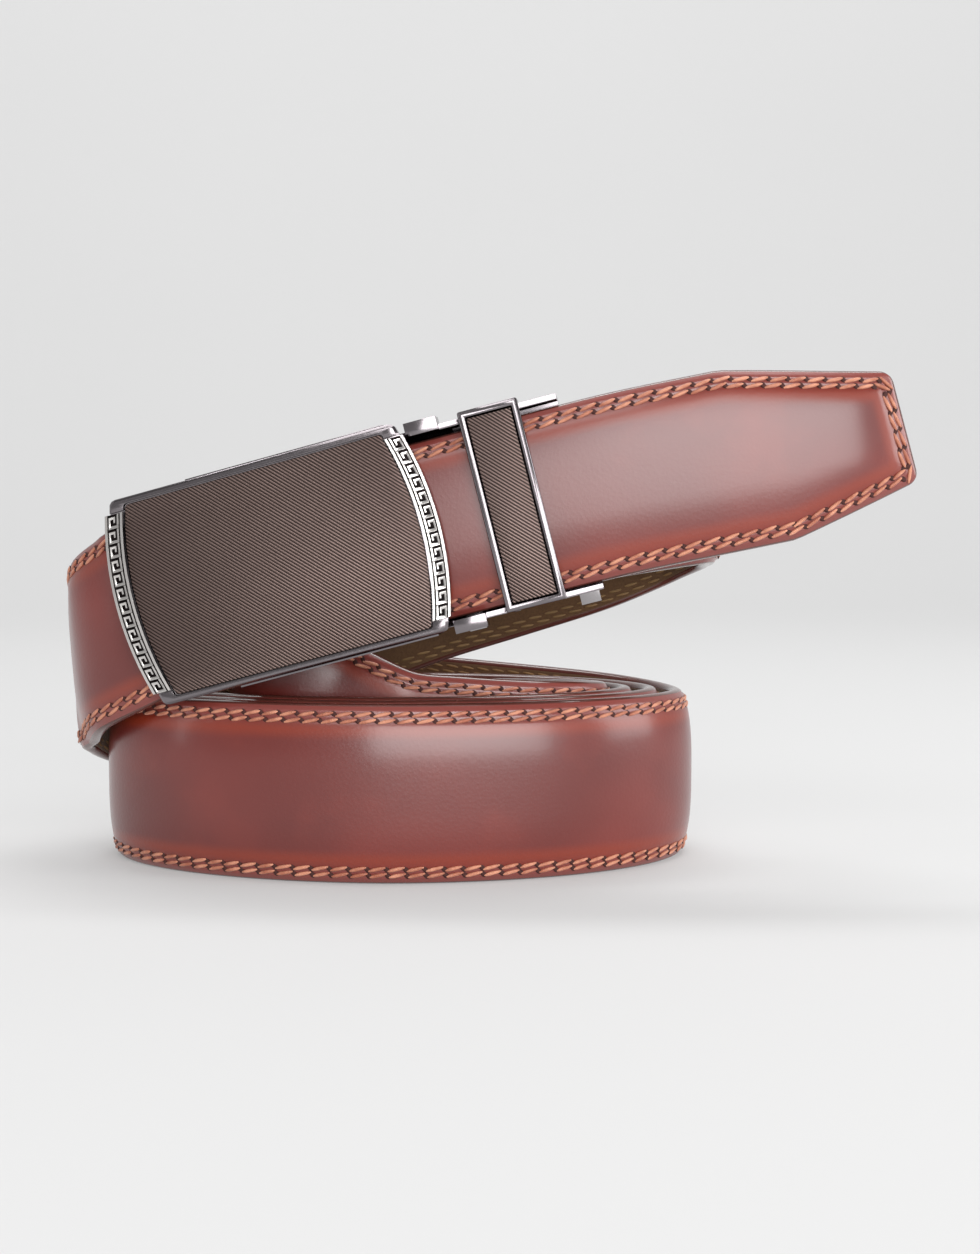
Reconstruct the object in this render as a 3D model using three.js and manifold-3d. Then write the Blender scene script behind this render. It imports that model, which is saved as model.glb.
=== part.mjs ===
import * as THREE from 'three';
import { mergeVertices } from 'three/addons/utils/BufferGeometryUtils.js';
import Module from 'manifold-3d';

const wasm = await Module();
wasm.setup();

// A ratchet belt, fastened and coiled on the edges of its strap. Millimetres, +Z up, seen from -Y.

// Strap: width across, leather at its painted rims, and how far the padded middle stands above them
const strapWidth = 35;
const rimLeather = 1.6;
const padHeight = 2.15;
const padPower = 3.2;
const rimChamfer = 0.4;
const liningThickness = 1.0;
const liningInset = 0.5;
const clearance = 0.3;

// Coil: the outermost turn's reach from the coil's middle, and the room that each turn takes
const coilReach = 59.8;
const coilHalfDepth = 32.4;
const turnPitch = 5.4;
const coilPower = 1.85;

// Buckle axis: where the strap passes under the middle of the face plate, in from the coil's left
// and front reach, and how it lies
const buckleInset = 40.3;
const buckleSetBack = 7.75;
const buckleHeight = 61.6;
const buckleSlope = 14.3;
const buckleYaw = -5;
const strapDrop = 0.8;
const frameDrop = 0.4;

// Tail: its length past the keeper, and the taper of its tip above and below
const tailLength = 73.4;
const tailYaw = 14;
const tailSlope = 11.3;
const tipTaperAbove = 36;
const tipTaperBelow = 27;
const tipWidth = 22.1;
const tipSkew = 2.2;
const tipCorner = 2.2;
const tipMarks = [14, 6];

// Ratchet track on the tail's inner face
const trackWidth = 9;
const trackThickness = 1.6;
const toothPitch = 2.6;
const toothHeight = 1.1;
const toothCrest = 0.92;
const trackStart = -18;
const trackEndFromTip = 22;

// Face plate: straight length of its long edges, height, thickness, and the bulge of its ends
const faceLength = 57.4;
const faceMiddle = -0.55;
const faceHeight = 41.2;
const faceThickness = 2.2;
const faceBulge = 3.4;
const faceTwist = 0.6;
const faceCorner = 1.5;
const bezelWidth = 1.2;
const faceBevel = 0.5;
const insertDepth = 0.7;
const insertLow = 0.1;
const trimWidth = 3.6;
const trimOverhang = 0.6;
const trimLift = 0.6;
const trimRim = 0.5;
const trimEndGap = 1.2;
const keyRepeats = 13;
const keyLine = 0.42;
const reliefHeight = 0.6;
const skirtThickness = 0.9;
const skirtDepth = 2.9;
const skirtStart = -13.5;
const skirtEndMargin = 2;

// Buckle frame: side walls, ears, the deck that the tail slides on, and the back plate
const wallThickness = 1.1;
const wallGap = 0.75;
const frameStart = -14;
const frameEnd = 59.3;
const wallFront = 1.5;
const wallEndMargin = 3;
const seatOverlap = 0.1;
const frameBack = 12.4;
const plateThickness = 1.1;
const deckDepth = 3.7;
const deckThickness = 1.1;
const backPlateEnd = 38;
const earStart = 29.6;
const earLength = 6.4;
const earHeight = 1.5;
const earDepth = 5;

// Keeper, its middle in from the buckle frame's end
const keeperInset = 13.1;
const keeperWidth = 11.8;
const keeperHeight = 39.4;
const keeperThickness = 1.7;
const keeperLeg = 0.9;
const keeperBezel = 1.3;

// Release lever, hinged across the buckle behind the track
const leverHinge = 24;
const leverNoseTooth = 12;
const leverNoseWidth = 0.8;
const leverTab = 33;
const leverDepth = 7;
const leverWidth = 15;
const leverThickness = 2.4;
const leverTabReach = 21.4;
const leverTabWidth = 3.4;
const leverSlotSpare = 0.3;
const leverSlotFront = 1.9;
const leverSlotBack = 0.5;
const leverBoss = 1;
const pinRadius = 0.8;
const pinOverhang = 0.5;

// Clamp jaw, hinged across the clamp behind the strap's cut end
const jawHinge = 41;
const jawDepth = 10.9;
const jawBoss = 1.7;
const jawLength = 17;
const jawThickness = 1.2;
const jawTeeth = 5;
const jawToothHeight = 0.9;
const jawTabReach = 21.8;
const jawTabWidth = 4;
const jawShoulder = 5.6;
const jawShoulderGap = 0.4;
const jawSideGap = 0.2;
const jawTeethStart = 5;
const jawTeethMargin = 7;
const jawToothTip = 0.6;
const jawToothEnd = 0.8;
const jawToothInset = 1;
const clampedStart = 37.5;
const clampedDepth = 7.6;
const clampedPad = 0.3;
const clampedRelease = 18;

// Overlap between joined solids, and how far a cutter stands past what it cuts
const join = 0.1;
const past = 1;

// The coil's turns, from inside to outside, by angle in turns from the outermost right end.
// rise: share of the strap's width that the strap stands above the floor; lean: degrees that its
// upper edge leans out; outset: share of the turn pitch that it stands out of the even spiral;
// pad: share of the full padding, less where the turns press on one another
const coilRows = [
  { turns: -3.125, rise: 0.075, lean: 0, outset: 0, pad: 0.7 },
  { turns: -3, rise: 0.04, lean: 0, outset: 0, pad: 0.7 },
  { turns: -2.75, rise: 0.012, lean: 0, outset: 0, pad: 0.7 },
  { turns: -2.5, rise: 0.008, lean: 0, outset: 0, pad: 0.7 },
  { turns: -2.25, rise: 0.006, lean: 0, outset: 0, pad: 0.7 },
  { turns: -2, rise: 0.014, lean: 0, outset: 0, pad: 0.7 },
  { turns: -1.75, rise: 0, lean: 0, outset: 0, pad: 0.7 },
  { turns: -1.5, rise: 0, lean: 0, outset: 0, pad: 0.7 },
  { turns: -1.25, rise: 0.003, lean: 0, outset: 0, pad: 0.7 },
  { turns: -1, rise: 0.01, lean: 0, outset: 0, pad: 0.7 },
  { turns: -0.75, rise: 0.02, lean: 0, outset: 0, pad: 0.7 },
  { turns: -0.5, rise: 0, lean: 0, outset: 0, pad: 0.85 },
  { turns: -0.25, rise: 0, lean: 0, outset: 0, pad: 1 },
  { turns: 0, rise: 0, lean: 0, outset: 0, pad: 1 },
  { turns: 0.125, rise: 0.05, lean: 0, outset: 0, pad: 1 },
  { turns: 0.25, rise: 0.14, lean: 1, outset: 0.05, pad: 1 },
  { turns: 0.375, rise: 0.33, lean: 3, outset: 0.18, pad: 1 },
  { turns: 0.5, rise: 0.63, lean: 5, outset: 0.32, pad: 1 },
];

// The raised loop between the clamp and the coil's innermost turn. across: share of the coil's reach;
// back: share of its half depth, both from the coil's middle; rise: share of the strap's width
const loopRows = [
  { across: 1.04, back: -0.58, rise: 1.76 },
  { across: 1.09, back: -0.31, rise: 1.75 },
  { across: 1.065, back: 0.0, rise: 1.72 },
  { across: 0.94, back: 0.23, rise: 1.63 },
  { across: 0.7, back: 0.34, rise: 1.45 },
  { across: 0.38, back: 0.41, rise: 1.27 },
  { across: 0.08, back: 0.415, rise: 1.11 },
  { across: -0.23, back: 0.365, rise: 0.91 },
  { across: -0.38, back: 0.305, rise: 0.8 },
  { across: -0.485, back: 0.215, rise: 0.715 },
  { across: -0.535, back: 0.025, rise: 0.625 },
  { across: -0.49, back: -0.165, rise: 0.54 },
  { across: -0.38, back: -0.245, rise: 0.445 },
  { across: -0.2, back: -0.27, rise: 0.295 },
  { across: 0.02, back: -0.33, rise: 0.139 },
  { across: 0.25, back: -0.37, rise: 0.1 },
];

// The raised turn between the coil's outermost turn and the buckle, in the same shares
const turnRows = [
  { across: -1.003, back: -0.432, rise: 0.797, lean: 4 },
  { across: -0.853, back: -0.648, rise: 0.946, lean: 1 },
];

// Where the strap is straight again before the middle of the face plate
const straightStart = -24;

const halfWidth = strapWidth / 2;
const coilSamplesPerTurn = 48;
const denseSteps = 6000;
const stationTurn = THREE.MathUtils.degToRad(12);
const stationLength = 13;
const keeperMiddle = frameEnd - keeperInset;
const keeperEnd = keeperMiddle + keeperWidth / 2;
const wallInside = halfWidth + wallGap;
const wallOutside = wallInside + wallThickness;
const strapFront = rimLeather + padHeight + clearance;
const faceBack = strapFront + join / 2;
const faceFront = faceBack + faceThickness;
const liningBack = clearance + liningThickness;
const trackFront = liningBack + clearance;

const radians = THREE.MathUtils.degToRad;

// Smooth values between the rows of a table, without overshoot
function rowValue(rows, key, name, at) {
  let i = 0;
  while (i < rows.length - 2 && rows[i + 1][key] < at) {
    i += 1;
  }
  const gap = (k) => rows[k + 1][key] - rows[k][key];
  const rate = (k) => (rows[k + 1][name] - rows[k][name]) / gap(k);
  const tangent = (k) => {
    if (k <= 0) {
      return rate(0);
    }
    if (k >= rows.length - 1) {
      return rate(rows.length - 2);
    }
    const before = rate(k - 1);
    const after = rate(k);
    return before * after <= 0 ? 0 : (2 * before * after) / (before + after);
  };
  const t = THREE.MathUtils.clamp((at - rows[i][key]) / gap(i), 0, 1);
  const start = rows[i][name] + t * t * (3 - 2 * t) * (rows[i + 1][name] - rows[i][name]);
  const bow = gap(i) * t * (1 - t) * ((1 - t) * tangent(i) - t * tangent(i + 1));
  return start + bow;
}

function signedPower(value, power) {
  return Math.sign(value) * Math.abs(value) ** power;
}

// A point of the coil by its angle in turns: an oval whose reach grows by one pitch each turn
function coilPoint(turns) {
  const angle = turns * 2 * Math.PI;
  const out = rowValue(coilRows, 'turns', 'outset', turns) * turnPitch;
  const grown = turnPitch * turns + out;
  const reach = coilReach + grown;
  const depth = coilHalfDepth + grown + turnPitch / 4;
  const rise = rowValue(coilRows, 'turns', 'rise', turns) * strapWidth;
  return new THREE.Vector3(
    reach * signedPower(Math.cos(angle), 2 / coilPower),
    depth * signedPower(Math.sin(angle), 2 / coilPower),
    halfWidth + rise,
  );
}

// The buckle's own frame: u along the strap, w across it, n out of its face
const buckleU = new THREE.Vector3(
  Math.cos(radians(buckleSlope)) * Math.cos(radians(buckleYaw)),
  Math.cos(radians(buckleSlope)) * Math.sin(radians(buckleYaw)),
  Math.sin(radians(buckleSlope)),
);
const buckleN = new THREE.Vector3(Math.sin(radians(buckleYaw)), -Math.cos(radians(buckleYaw)), 0);
const buckleW = new THREE.Vector3().crossVectors(buckleN, buckleU);
const buckleOrigin = new THREE.Vector3(
  buckleInset - coilReach,
  buckleSetBack - coilHalfDepth,
  buckleHeight,
);

// A point of the strap's middle line in the buckle, where the strap hangs a little low
function onBuckle(u, n) {
  const point = buckleOrigin.clone().addScaledVector(buckleU, u).addScaledVector(buckleN, n);
  return point.addScaledVector(buckleW, -strapDrop);
}

// The tail's middle line, past the clamp, sagging and turning back a little towards its tip
function tailPoints() {
  const points = [];
  const steps = 12;
  const length = keeperEnd + tailLength - frameEnd;
  const at = onBuckle(frameEnd, 0);
  for (let i = 1; i <= steps; i += 1) {
    const share = (i - 0.5) / steps;
    const yaw = radians(buckleYaw + (tailYaw - buckleYaw) * share);
    const slope = radians(buckleSlope + (tailSlope - buckleSlope) * Math.min(1, 4 * share));
    const along = length / steps;
    at.x += along * Math.cos(slope) * Math.cos(yaw);
    at.y += along * Math.cos(slope) * Math.sin(yaw);
    at.z += along * Math.sin(slope);
    points.push(at.clone());
  }
  return points;
}

// A point given in shares of the coil's reach, its half depth and the strap's width
function raisedPoint(row) {
  const height = halfWidth + row.rise * strapWidth;
  return new THREE.Vector3(row.across * coilReach, row.back * coilHalfDepth, height);
}

// Points and leans of the strap's whole middle line, from the clamped end to the tip of the tail
function strapRoute() {
  const route = [];
  const push = (point, lean, pad = 1) => route.push({ point, lean, pad });
  for (let u = clampedStart; u < frameEnd + 1; u += (frameEnd - clampedStart) / 3) {
    push(onBuckle(u, -clampedDepth), 0);
  }
  const pressed = coilRows[0].pad;
  loopRows.forEach((row) => push(raisedPoint(row), 0, row.rise < 1 ? pressed : 1));
  const first = coilRows[0].turns;
  const last = coilRows[coilRows.length - 1].turns;
  const count = Math.round((last - first) * coilSamplesPerTurn);
  for (let i = 0; i <= count; i += 1) {
    const turns = first + ((last - first) * i) / count;
    const value = (name) => rowValue(coilRows, 'turns', name, turns);
    push(coilPoint(turns), value('lean'), value('pad'));
  }
  turnRows.forEach((row) => push(raisedPoint(row), row.lean));
  for (let u = straightStart; u < frameEnd + 1; u += (frameEnd - straightStart) / 7) {
    push(onBuckle(u, 0), 0);
  }
  for (const point of tailPoints()) {
    push(point, 0);
  }
  return route;
}

const route = strapRoute();
const routeCurve = new THREE.CatmullRomCurve3(route.map((stop) => stop.point), false, 'centripetal');
routeCurve.arcLengthDivisions = denseSteps;

// Frames along the strap, closer together where it turns: along t, across w and outward n
function strapStations() {
  const length = routeCurve.getLength();
  const frames = [];
  let before = null;
  let turned = 0;
  let walked = 0;
  const endMarks = [tipTaperAbove, tipTaperBelow, ...tipMarks, tipCorner, tipCorner * 0.4, 0];
  const isMark = (s, ds) => endMarks.some((mark) => Math.abs(length - s - mark) < ds / 2);
  for (let i = 0; i <= denseSteps; i += 1) {
    const along = i / denseSteps;
    const tangent = routeCurve.getTangentAt(along);
    if (before) {
      turned += tangent.angleTo(before);
      walked += length / denseSteps;
    }
    before = tangent;
    const due = turned > stationTurn || walked > stationLength;
    if (i === 0 || i === denseSteps || due || isMark(along * length, length / denseSteps)) {
      frames.push(stationAt(along, tangent, length));
      turned = 0;
      walked = 0;
    }
  }
  return frames;
}

function stationAt(along, tangent, length) {
  const spot = routeCurve.getUtoTmapping(along) * (route.length - 1);
  const i = Math.min(Math.floor(spot), route.length - 2);
  const between = (name) => THREE.MathUtils.lerp(route[i][name], route[i + 1][name], spot - i);
  const lean = radians(between('lean'));
  const upright = new THREE.Vector3(0, 0, 1).addScaledVector(tangent, -tangent.z).normalize();
  const outward = new THREE.Vector3().crossVectors(tangent, upright);
  const w = upright.clone().multiplyScalar(Math.cos(lean)).addScaledVector(outward, Math.sin(lean));
  const n = new THREE.Vector3().crossVectors(tangent, w);
  const point = routeCurve.getPointAt(along);
  const from = along * length;
  return { point, t: tangent, w, n, pad: between('pad'), from, left: length - from };
}

const stations = strapStations();

// Half widths above and below the middle line: full, then tapered and rounded at the tip
function tipHalf(left, taper, half, endHalf) {
  const tapered = left >= taper ? half : endHalf + ((half - endHalf) * left) / taper;
  const short = Math.max(0, tipCorner - left);
  return tapered - tipCorner + Math.sqrt(tipCorner ** 2 - short ** 2);
}

// The share of the full padding: pressed flat in the clamp, fading out at the tip
function padShare(station) {
  const held = frameEnd - clampedStart;
  const clamp = THREE.MathUtils.smoothstep(station.from, held, held + clampedRelease);
  const tip = 1 - (1 - Math.min(1, station.left / halfWidth)) ** padPower;
  return (clampedPad + (1 - clampedPad) * clamp) * tip * station.pad;
}

// Sections of the strap as [across share of the half width, height above the inner face]
function leatherSection(station) {
  const pad = padHeight * padShare(station);
  const outer = [0.92, 0.76, 0.45, -0.45, -0.76, -0.92];
  const dome = outer.map((v) => [v, rimLeather + pad * (1 - Math.abs(v) ** padPower)]);
  const rim = rimLeather - rimChamfer;
  return [[-1, 0], [0, 0], [1, 0], [1, rim], [1 - rimChamfer / halfWidth, rimLeather], ...dome,
    [-1 + rimChamfer / halfWidth, rimLeather], [-1, rim]];
}

function liningSection() {
  return [[-1, -liningBack], [0, -liningBack], [1, -liningBack],
    [1, -clearance], [0, -clearance], [-1, -clearance]];
}

// A closed solid swept through sections, all with the same number of corners
function sweptSolid(places, sectionOf, inset) {
  const positions = [];
  const triangles = [];
  const pattern = sectionOf(places[0]);
  const corners = pattern.length;
  places.forEach((place) => {
    const section = sectionOf(place);
    const above = tipHalf(place.left, tipTaperAbove, halfWidth, tipWidth / 2) - inset;
    const below = tipHalf(place.left, tipTaperBelow, halfWidth, tipWidth / 2) - inset;
    const skew = -tipSkew * (1 - THREE.MathUtils.smoothstep(place.left, 0, tipTaperAbove));
    for (const [v, h] of section) {
      const across = v * (v > 0 ? above : below);
      const spot = place.point.clone().addScaledVector(place.w, across).addScaledVector(place.n, h);
      spot.addScaledVector(place.t, (skew * (across + tipWidth / 2)) / tipWidth);
      positions.push(spot.x, spot.y, spot.z);
    }
  });
  for (let k = 0; k < places.length - 1; k += 1) {
    for (let c = 0; c < corners; c += 1) {
      const a = k * corners + c;
      const b = k * corners + ((c + 1) % corners);
      const rising = pattern[c][0] < pattern[(c + 1) % corners][0];
      const split = rising ? [a, b, b + corners, a, b + corners, a + corners]
        : [a, b, a + corners, b, b + corners, a + corners];
      triangles.push(...split);
    }
  }
  const last = (places.length - 1) * corners;
  for (let c = 1; c < corners - 1; c += 1) {
    triangles.push(0, c + 1, c, last, last + c, last + c + 1);
  }
  const geometry = new THREE.BufferGeometry();
  geometry.setAttribute('position', new THREE.Float32BufferAttribute(positions, 3));
  geometry.setIndex(triangles);
  return geometry;
}

// The toothed strip: saw teeth on its back, along the straight and gently curved part of the tail
function trackGeometry() {
  const length = routeCurve.getLength();
  const tailStart = length - (keeperEnd + tailLength);
  const places = [];
  const from = tailStart + trackStart;
  const to = length - trackEndFromTip;
  const count = Math.floor((to - from) / toothPitch);
  const place = (s, depth) => {
    const along = s / length;
    places.push({ ...stationAt(along, routeCurve.getTangentAt(along), length), depth });
  };
  for (let i = 0; i < count; i += 1) {
    place(from + i * toothPitch, trackThickness - toothHeight);
    place(from + (i + toothCrest) * toothPitch, trackThickness);
  }
  const half = trackWidth / 2 / halfWidth;
  const section = (spot) => [[-half, -trackFront - spot.depth], [half, -trackFront - spot.depth],
    [half, -trackFront], [-half, -trackFront]];
  return sweptSolid(places, section, 0);
}

function toManifold(geometry) {
  const plain = geometry.clone();
  plain.deleteAttribute('normal');
  plain.deleteAttribute('uv');
  const merged = mergeVertices(plain, 1e-4);
  return new wasm.Manifold(new wasm.Mesh({
    numProp: 3,
    vertProperties: new Float32Array(merged.attributes.position.array),
    triVerts: new Uint32Array(merged.index.array),
  }));
}

function toGeometry(solid) {
  const mesh = solid.getMesh();
  const geometry = new THREE.BufferGeometry();
  geometry.setAttribute('position', new THREE.BufferAttribute(new Float32Array(mesh.vertProperties), 3));
  geometry.setIndex(new THREE.BufferAttribute(new Uint32Array(mesh.triVerts), 1));
  return geometry;
}

// A box between two corners, given as [u, w, n]
function boxSolid(low, high) {
  const size = high.map((value, k) => value - low[k]);
  const box = new THREE.BoxGeometry(...size);
  box.translate(...high.map((value, k) => (value + low[k]) / 2));
  return toManifold(box);
}

// A round pin or hole across the buckle, from one w to another
function crossPin(u, n, radius, fromW, toW, sides = 16) {
  const pin = new THREE.CylinderGeometry(radius, radius, toW - fromW, sides);
  pin.translate(u, (fromW + toW) / 2, n);
  return toManifold(pin);
}

// A flat outline extruded from one n to another
function outlineSolid(shape, fromN, toN, bevel = 0) {
  const body = new THREE.ExtrudeGeometry(shape, {
    depth: toN - fromN - bevel,
    bevelEnabled: bevel > 0,
    bevelThickness: bevel,
    bevelSize: bevel,
    bevelOffset: -bevel,
    bevelSegments: 1,
    curveSegments: 12,
  });
  body.translate(0, 0, fromN);
  const solid = toManifold(body);
  if (bevel === 0) {
    return solid;
  }
  const big = faceLength + faceHeight;
  return solid.intersect(boxSolid([-big, -big, fromN], [big, big, toN]));
}

// The radius of the face plate's bulged ends, from their chord and bulge
function endRadius(height) {
  return (height ** 2 / 4 + faceBulge ** 2) / (2 * faceBulge);
}

// The bulged outline of the face plate with its rounded corners, drawn in from its edge by a margin
// on its ends and sides
function faceOutline(endMargin, sideMargin) {
  const half = faceHeight / 2 - sideMargin;
  const radius = faceCorner - sideMargin / 2;
  const straight = half - radius;
  const steps = 10;
  const corner = 3;
  const right = [];
  for (let i = 0; i <= steps; i += 1) {
    const w = -straight + (2 * straight * i) / steps;
    right.push([faceEnd(w) - endMargin, w]);
  }
  for (let i = 1; i <= corner; i += 1) {
    const turn = (Math.PI / 2) * (i / corner);
    const inward = radius * (1 - Math.cos(turn));
    const up = radius * Math.sin(turn);
    right.push([faceEnd(straight) - endMargin - inward, straight + up]);
    right.unshift([faceEnd(straight) - endMargin - inward, -straight - up]);
  }
  const shape = new THREE.Shape();
  right.forEach(([u, w], i) => (i === 0 ? shape.moveTo(u, w) : shape.lineTo(u, w)));
  [...right].reverse().forEach(([u, w]) => shape.lineTo(-u, w));
  shape.closePath();
  return shape;
}

// How far the face plate's bulged end reaches at a height w
function faceEnd(w) {
  const radius = endRadius(faceHeight);
  return faceLength / 2 + faceBulge - radius + Math.sqrt(radius ** 2 - w ** 2);
}

// The band along one end that a trim fills, as an outline: from one margin to another
function endBand(side, outerMargin, innerMargin, half) {
  const shape = new THREE.Shape();
  const steps = 12;
  const rim = [];
  for (let i = 0; i <= steps; i += 1) {
    const w = -half + (2 * half * i) / steps;
    rim.push([side * (faceEnd(w) - outerMargin), w]);
  }
  const inner = [...rim].reverse().map(([u, w]) => [u - side * (innerMargin - outerMargin), w]);
  [...rim, ...inner].forEach(([u, w], i) => (i === 0 ? shape.moveTo(u, w) : shape.lineTo(u, w)));
  shape.closePath();
  return shape;
}

const trimHalf = faceHeight / 2 - bezelWidth - trimEndGap;
const trimInner = trimWidth - trimOverhang;
const insertFloor = faceFront - insertDepth - clearance;

function faceFrame() {
  let plate = outlineSolid(faceOutline(0, 0), faceBack, faceFront, faceBevel);
  const pocket = outlineSolid(faceOutline(trimInner, bezelWidth), insertFloor, faceFront + past);
  plate = plate.subtract(pocket);
  for (const side of [-1, 1]) {
    const band = endBand(side, -trimOverhang - past, trimInner + join, trimHalf);
    plate = plate.subtract(outlineSolid(band, insertFloor, faceFront + past));
    const skirtIn = side * (wallOutside + frameDrop + clearance);
    const skirtOut = skirtIn + side * skirtThickness;
    const low = Math.min(skirtOut, skirtIn);
    const high = Math.max(skirtOut, skirtIn);
    const skirtEnd = faceLength / 2 - skirtEndMargin;
    const skirtBack = faceBack - skirtDepth;
    plate = plate.add(boxSolid([skirtStart, low, skirtBack], [skirtEnd, high, faceBack + faceBevel]));
  }
  return toGeometry(plate);
}

function faceInsert() {
  const outline = faceOutline(trimInner + clearance, bezelWidth + clearance);
  return toGeometry(outlineSolid(outline, insertFloor + clearance, faceFront - insertLow));
}

// One hook of the meander as an outline of bars, with v along the trim and r across it, both shares
const keyOutline = [
  { v: 0, r: 0 }, { v: 1, r: 0 }, { v: 1, r: 0.17 }, { v: 0.2, r: 0.17 }, { v: 0.2, r: 0.83 },
  { v: 0.66, r: 0.83 }, { v: 0.66, r: 0.5 }, { v: 0.4, r: 0.5 }, { v: 0.4, r: 0.34 },
  { v: 0.84, r: 0.34 }, { v: 0.84, r: 1 }, { v: 0, r: 1 },
];

function trim(side) {
  const outer = -trimOverhang;
  const inner = trimInner;
  const half = trimHalf - clearance;
  const floor = insertFloor + clearance;
  const face = faceFront + trimLift - reliefHeight;
  let body = outlineSolid(endBand(side, outer, inner, half), floor, face);
  const raised = [
    endBand(side, outer, outer + trimRim, half),
    endBand(side, inner - trimRim, inner, half),
  ];
  const keyBand = inner - outer - 2 * trimRim - 2 * clearance;
  const pitch = (2 * half) / keyRepeats;
  for (let k = 0; k < keyRepeats; k += 1) {
    const shape = new THREE.Shape();
    keyOutline.forEach(({ v, r }, i) => {
      const w = -half + (k + v * (1 - keyLine / pitch / 4)) * pitch;
      const u = side * (faceEnd(w) - inner + trimRim + clearance + r * keyBand);
      return i === 0 ? shape.moveTo(u, w) : shape.lineTo(u, w);
    });
    shape.closePath();
    raised.push(shape);
  }
  for (const shape of raised) {
    body = body.add(outlineSolid(shape, face - clearance, face + reliefHeight));
  }
  return toGeometry(body);
}

const jawFront = -jawDepth + jawThickness / 2;
const jawBack = -jawDepth - jawThickness / 2;

function buckleFrame() {
  const parts = [];
  for (const side of [-1, 1]) {
    const low = Math.min(side * wallInside, side * wallOutside);
    const high = Math.max(side * wallInside, side * wallOutside);
    parts.push(boxSolid([frameStart, low, -frameBack], [jawHinge + jawShoulder, high, wallFront]));
    parts.push(boxSolid([jawHinge, low, jawFront + clearance], [frameEnd, high, wallFront]));
    const raisedEnd = faceLength / 2 - wallEndMargin;
    parts.push(boxSolid([frameStart, low, 0], [raisedEnd, high, faceBack - clearance]));
    const earLow = Math.min(side * wallInside, side * (wallOutside + earHeight));
    const earHigh = Math.max(side * wallInside, side * (wallOutside + earHeight));
    parts.push(boxSolid([earStart, earLow, faceBack - clearance - earDepth],
      [earStart + earLength, earHigh, faceBack - clearance]));
  }
  const seat = wallInside + seatOverlap;
  const plateFront = -frameBack + plateThickness;
  parts.push(boxSolid([frameStart, -seat, -frameBack], [backPlateEnd, seat, plateFront]));
  parts.push(boxSolid([backPlateEnd, -seat, -deckDepth - deckThickness], [frameEnd, seat, -deckDepth]));
  let frame = parts.reduce((sum, part) => sum.add(part));
  const reach = wallOutside + earHeight + past;
  frame = frame.subtract(crossPin(leverHinge, -leverDepth, pinRadius + clearance, -reach, reach));
  frame = frame.subtract(crossPin(jawHinge, -jawDepth, pinRadius + clearance, -reach, reach));
  const slotHalf = leverTabWidth / 2 + clearance + leverSlotSpare;
  const slotLow = [leverTab - slotHalf, -reach, -leverDepth - leverThickness / 2 - leverSlotBack];
  const slotFront = -leverDepth + leverThickness / 2 + leverSlotFront;
  const slotHigh = [leverTab + slotHalf, -wallInside + past, slotFront];
  return toGeometry(frame.subtract(boxSolid(slotLow, slotHigh)));
}

const keeperFront = strapFront + keeperThickness;

function keeperFrame() {
  const half = keeperHeight / 2;
  const left = keeperMiddle - keeperWidth / 2;
  const loop = boxSolid([left, -half, wallFront + clearance], [keeperEnd, half, keeperFront]);
  const way = boxSolid([left - past, -half + keeperLeg, -past],
    [keeperEnd + past, half - keeperLeg, strapFront]);
  const floor = keeperFront - insertDepth - clearance;
  const pocket = boxSolid([left + keeperBezel, -half + keeperBezel, floor],
    [keeperEnd - keeperBezel, half - keeperBezel, keeperFront + past]);
  return toGeometry(loop.subtract(way).subtract(pocket));
}

function keeperInsert() {
  const half = keeperHeight / 2 - keeperBezel - clearance;
  const side = keeperWidth / 2 - keeperBezel - clearance;
  return toGeometry(boxSolid([keeperMiddle - side, -half, keeperFront - insertDepth],
    [keeperMiddle + side, half, keeperFront - insertLow]));
}

// A side view in u and n, extruded across the buckle from one w to another
function sideSolid(points, fromW, toW) {
  const shape = new THREE.Shape();
  points.forEach(([u, n], i) => (i === 0 ? shape.moveTo(u, n) : shape.lineTo(u, n)));
  shape.closePath();
  const body = new THREE.ExtrudeGeometry(shape, { depth: toW - fromW, bevelEnabled: false });
  body.rotateX(Math.PI / 2);
  body.translate(0, toW, 0);
  return toManifold(body);
}

function releaseLever() {
  const top = -leverDepth + leverThickness / 2;
  const bottom = -leverDepth - leverThickness / 2;
  const tip = -(trackFront + trackThickness - toothHeight) - 2 * clearance;
  const half = leverWidth / 2;
  const nose = trackStart + leverNoseTooth * toothPitch + clearance;
  const noseBack = nose + leverNoseWidth;
  const tabStart = leverTab - leverTabWidth / 2;
  const tabEnd = leverTab + leverTabWidth / 2;
  const side = [
    [nose, bottom + leverThickness / 4],
    [noseBack, bottom],
    [tabEnd, bottom],
    [tabEnd, top],
    [noseBack + leverThickness, top],
    [noseBack, tip],
    [nose, tip],
  ];
  const arm = sideSolid(side, -half, half);
  const tab = boxSolid([tabStart, -leverTabReach, bottom], [tabEnd, -half + join, top]);
  const boss = crossPin(leverHinge, -leverDepth, pinRadius + clearance + leverBoss, -half, half);
  const bore = crossPin(leverHinge, -leverDepth, pinRadius + clearance, -half - past, half + past);
  return toGeometry(arm.add(tab).add(boss).subtract(bore));
}

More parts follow.
